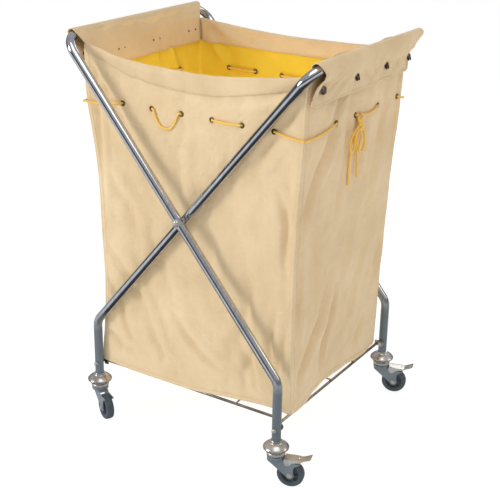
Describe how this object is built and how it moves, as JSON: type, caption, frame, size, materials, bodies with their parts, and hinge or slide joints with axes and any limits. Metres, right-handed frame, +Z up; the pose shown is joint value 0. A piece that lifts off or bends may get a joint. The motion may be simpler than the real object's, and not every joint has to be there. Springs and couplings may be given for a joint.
{
  "type": "folding linen trolley",
  "caption": "Folding X-frame linen trolley: two crossed tube frames with a canvas bag and liner between their handle bars, a wire rack under it and swivel casters.",
  "frame": {"origin": "on the floor, under the middle of the line through the two pivot bolts", "axes": "+X to the right along the long face that shows the X, +Y to the back along the pivot line, +Z up"},
  "size_m": [0.7038, 0.6169, 0.9903],
  "materials": {
    "chrome_tube": "bright chrome plate on bent steel tube",
    "zinc_plated": "zinc plated pressed steel",
    "bumper_plate": "nickel plated, slightly warm",
    "fork_steel": "satin zinc plated stamping",
    "rack_wire": "bright plated wire",
    "grey_rubber": "blue-grey thermoplastic rubber, satin",
    "grey_hub": "grey moulded nylon",
    "canvas": "beige cotton canvas, plain weave",
    "yellow_liner": "yellow coated nylon",
    "yellow_cord": "yellow braided cord"
  },
  "bodies": {
    "frame_a": {"frame_tube_a": "chrome_tube", "pivot_bolt_front": "zinc_plated", "pivot_bolt_back": "zinc_plated", "pivot_nut_front": "zinc_plated", "pivot_nut_back": "zinc_plated", "leg_bolt_fr": "zinc_plated", "leg_bolt_br": "zinc_plated", "bumper_fr": "bumper_plate", "bumper_br": "bumper_plate", "caster_stem_fr": "zinc_plated", "caster_stem_br": "zinc_plated", "sleeve_left": "canvas"},
    "frame_b": {"frame_tube_b": "chrome_tube", "leg_bolt_fl": "zinc_plated", "leg_bolt_bl": "zinc_plated", "bumper_fl": "bumper_plate", "bumper_bl": "bumper_plate", "caster_stem_fl": "zinc_plated", "caster_stem_bl": "zinc_plated", "sleeve_right": "canvas"},
    "bag": {"bag_front": "canvas", "bag_back": "canvas", "bag_left": "canvas", "bag_right": "canvas", "bag_bottom": "canvas", "bag_liner": "yellow_liner", "drawstring": "yellow_cord", "bow_loop_front": "yellow_cord", "bow_loop_back": "yellow_cord", "bow_tail_front": "yellow_cord", "bow_tail_back": "yellow_cord"},
    "rack": {"rack_rod_front": "rack_wire", "rack_rod_back": "rack_wire", "rack_rod_left": "rack_wire", "rack_rod_right": "rack_wire", "rack_wire_long_1": "rack_wire", "rack_wire_long_2": "rack_wire", "rack_wire_long_3": "rack_wire", "rack_wire_cross_1": "rack_wire", "rack_wire_cross_2": "rack_wire", "rack_wire_cross_3": "rack_wire"},
    "swivel_fr": {"caster_fork_fr": "fork_steel", "caster_axle_fr": "zinc_plated"},
    "wheel_fr": {"caster_tyre_fr": "grey_rubber", "caster_hub_fr": "grey_hub"},
    "pedal_fr": {"brake_pedal_fr": "zinc_plated"},
    "swivel_br": {"caster_fork_br": "fork_steel", "caster_axle_br": "zinc_plated"},
    "wheel_br": {"caster_tyre_br": "grey_rubber", "caster_hub_br": "grey_hub"},
    "pedal_br": {"brake_pedal_br": "zinc_plated"},
    "swivel_fl": {"caster_fork_fl": "fork_steel", "caster_axle_fl": "zinc_plated"},
    "wheel_fl": {"caster_tyre_fl": "grey_rubber", "caster_hub_fl": "grey_hub"},
    "swivel_bl": {"caster_fork_bl": "fork_steel", "caster_axle_bl": "zinc_plated"},
    "wheel_bl": {"caster_tyre_bl": "grey_rubber", "caster_hub_bl": "grey_hub"}
  },
  "joints": [
    {"name": "frame_fold", "type": "hinge", "parent": "frame_a", "child": "frame_b", "pos_m": [0, 0, 0.5908], "axis": [0, -1, 0], "range_deg": [0, 34], "deforming": ["bag_front", "bag_back", "bag_left", "bag_right", "bag_bottom", "bag_liner", "drawstring", "bow_loop_front", "bow_loop_back", "bow_tail_front", "bow_tail_back"]},
    {"name": "bag_follow", "type": "hinge", "parent": "frame_a", "child": "bag", "pos_m": [0, 0, 0.5908], "axis": [0, -1, 0], "range_deg": [0, 17.1]},
    {"name": "rack_lift", "type": "hinge", "parent": "frame_a", "child": "rack", "pos_m": [0.274, 0, 0.143], "axis": [0, 1, 0], "range_deg": [0, 47.7]},
    {"name": "swivel_fr", "type": "hinge", "parent": "frame_a", "child": "swivel_fr", "pos_m": [0.274, -0.2735, 0.075], "axis": [0, 0, 1], "continuous": true},
    {"name": "wheel_spin_fr", "type": "hinge", "parent": "swivel_fr", "child": "wheel_fr", "pos_m": [0.30938, -0.26268, 0.0325], "axis": [-0.2924, 0.9563, 0], "continuous": true},
    {"name": "brake_fr", "type": "hinge", "parent": "swivel_fr", "child": "pedal_fr", "pos_m": [0.30364, -0.26444, 0.0605], "axis": [-0.2924, 0.9563, 0], "range_deg": [0, 9]},
    {"name": "swivel_br", "type": "hinge", "parent": "frame_a", "child": "swivel_br", "pos_m": [0.274, 0.2735, 0.075], "axis": [0, 0, 1], "continuous": true},
    {"name": "wheel_spin_br", "type": "hinge", "parent": "swivel_br", "child": "wheel_br", "pos_m": [0.30938, 0.28432, 0.0325], "axis": [-0.2924, 0.9563, 0], "continuous": true},
    {"name": "brake_br", "type": "hinge", "parent": "swivel_br", "child": "pedal_br", "pos_m": [0.30364, 0.28256, 0.0605], "axis": [-0.2924, 0.9563, 0], "range_deg": [0, 9]},
    {"name": "swivel_fl", "type": "hinge", "parent": "frame_b", "child": "swivel_fl", "pos_m": [-0.274, -0.2485, 0.075], "axis": [0, 0, 1], "continuous": true},
    {"name": "wheel_spin_fl", "type": "hinge", "parent": "swivel_fl", "child": "wheel_fl", "pos_m": [-0.24133, -0.26587, 0.0325], "axis": [0.4695, 0.8829, 0], "continuous": true},
    {"name": "swivel_bl", "type": "hinge", "parent": "frame_b", "child": "swivel_bl", "pos_m": [-0.274, 0.2485, 0.075], "axis": [0, 0, 1], "continuous": true},
    {"name": "wheel_spin_bl", "type": "hinge", "parent": "swivel_bl", "child": "wheel_bl", "pos_m": [-0.31064, 0.25365, 0.0325], "axis": [-0.1392, -0.9903, 0], "continuous": true}
  ],
  "couplings": [
    {"joint": "bag_follow", "follows": "frame_fold", "ratio": 0.5},
    {"joint": "rack_lift", "follows": "frame_fold", "ratio": 1.4}
  ]
}
